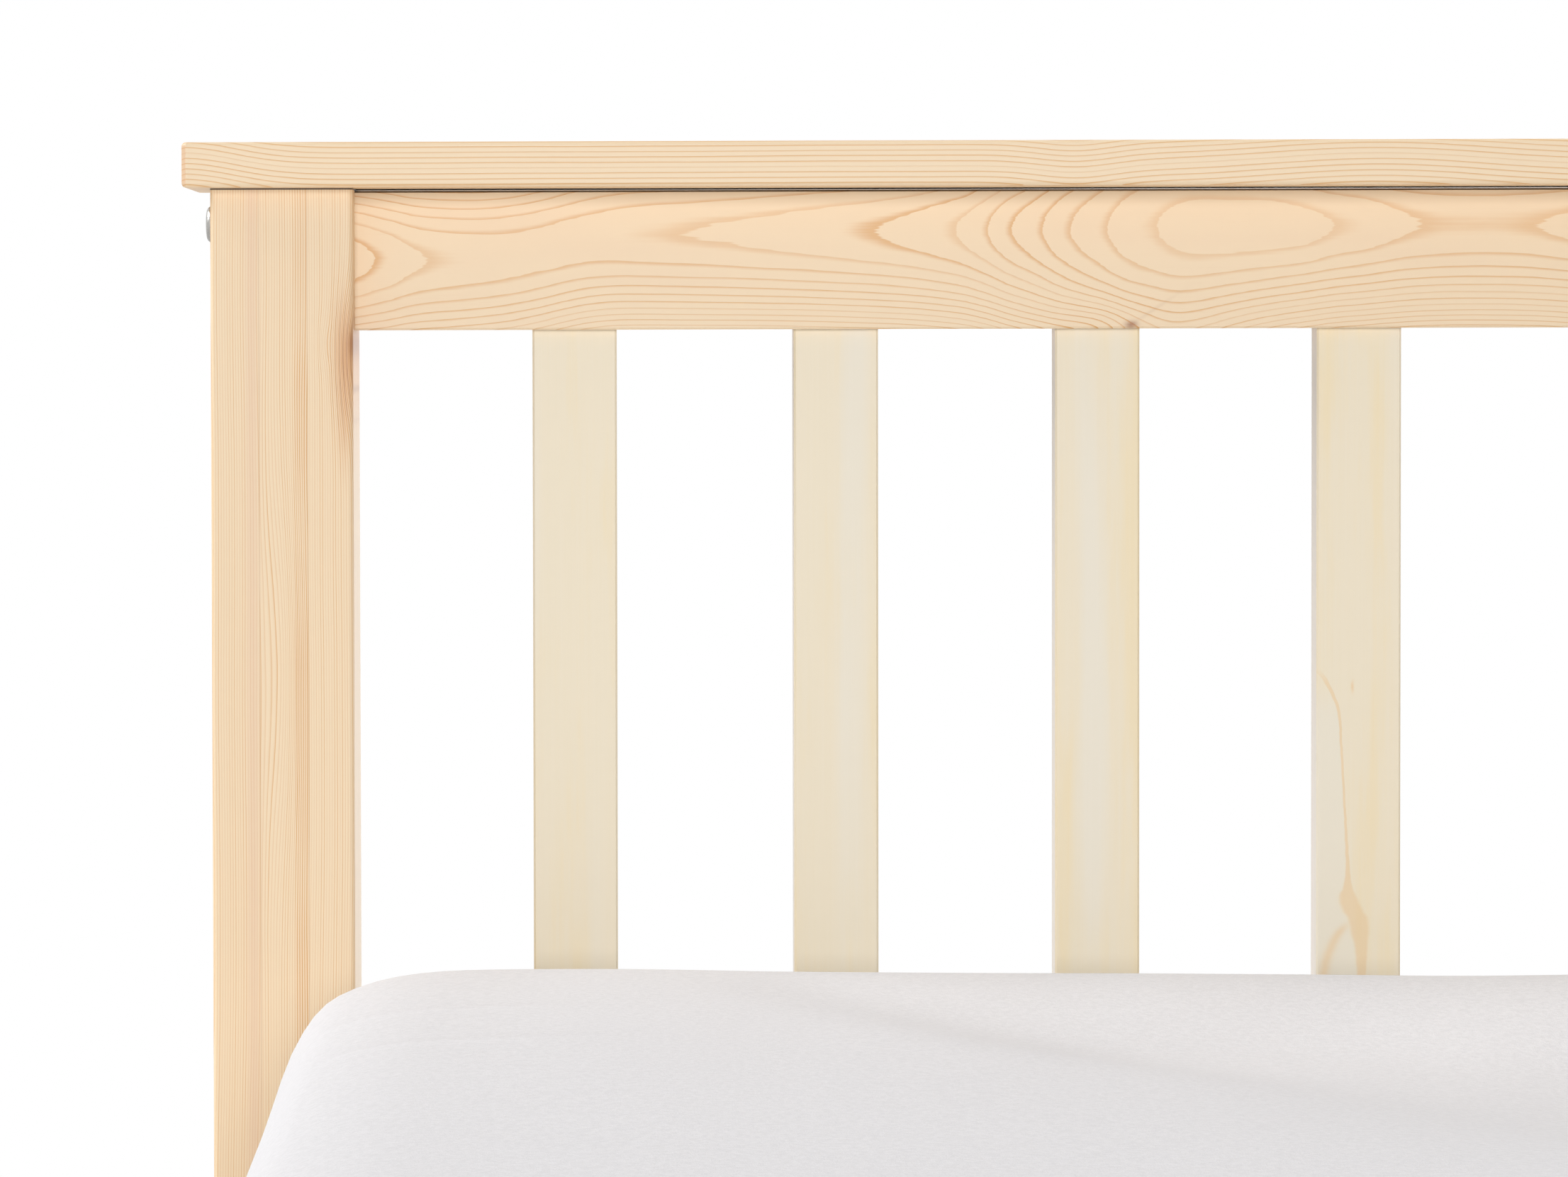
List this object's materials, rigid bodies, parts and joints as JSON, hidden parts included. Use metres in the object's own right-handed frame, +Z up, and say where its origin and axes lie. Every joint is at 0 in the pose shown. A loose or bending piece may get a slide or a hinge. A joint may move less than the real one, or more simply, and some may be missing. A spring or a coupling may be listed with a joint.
{
  "type": "spindle bed",
  "caption": "Single bed in solid softwood: panels of flat plywood spindles between capped square posts, bolted side rails, a slatted deck, and a mattress in a knitted fitted sheet",
  "frame": {"origin": "on the floor, under the middle of the bed", "axes": "+X across the bed towards its right side seen from the foot, +Y from foot to head, +Z up"},
  "size_m": [1.049, 2.075, 0.864],
  "materials": {
    "softwood": "satin",
    "plywood": "satin",
    "plated_steel": "satin",
    "glide_plastic": "matte",
    "webbing": "matte",
    "ticking": "matte",
    "sheet_knit": "matte"
  },
  "bodies": {
    "frame": {"barrel_nuts": "plated_steel", "bed_slat_01": "softwood", "bed_slat_02": "softwood", "bed_slat_03": "softwood", "bed_slat_04": "softwood", "bed_slat_05": "softwood", "bed_slat_06": "softwood", "bed_slat_07": "softwood", "bed_slat_08": "softwood", "bed_slat_09": "softwood", "bed_slat_10": "softwood", "bed_slat_11": "softwood", "bed_slat_12": "softwood", "bed_slat_13": "softwood", "centre_legs": "softwood", "centre_rail": "softwood", "centre_rail_hangers": "plated_steel", "foot_bottom_rail": "softwood", "foot_cap": "softwood", "foot_post_left": "softwood", "foot_post_right": "softwood", "foot_spindle_1": "plywood", "foot_spindle_2": "plywood", "foot_spindle_3": "plywood", "foot_spindle_4": "plywood", "foot_spindle_5": "plywood", "foot_spindle_6": "plywood", "foot_spindle_7": "plywood", "foot_spindle_8": "plywood", "foot_top_rail": "softwood", "glides": "glide_plastic", "head_bottom_rail": "softwood", "head_cap": "softwood", "head_post_left": "softwood", "head_post_right": "softwood", "head_spindle_1": "plywood", "head_spindle_2": "plywood", "head_spindle_3": "plywood", "head_spindle_4": "plywood", "head_spindle_5": "plywood", "head_spindle_6": "plywood", "head_spindle_7": "plywood", "head_spindle_8": "plywood", "head_top_rail": "softwood", "ledger_left": "softwood", "ledger_right": "softwood", "panel_bolts": "plated_steel", "side_rail_bolts": "plated_steel", "side_rail_left": "softwood", "side_rail_right": "softwood", "slat_strap_left": "webbing", "slat_strap_right": "webbing"},
    "mattress": {"mattress": "ticking", "fitted_sheet": "sheet_knit"}
  },
  "joints": [
    {"name": "mattress_lift", "type": "slide", "parent": "frame", "child": "mattress", "axis": [0, 0, 1], "range_m": [0, 0.45]}
  ]
}
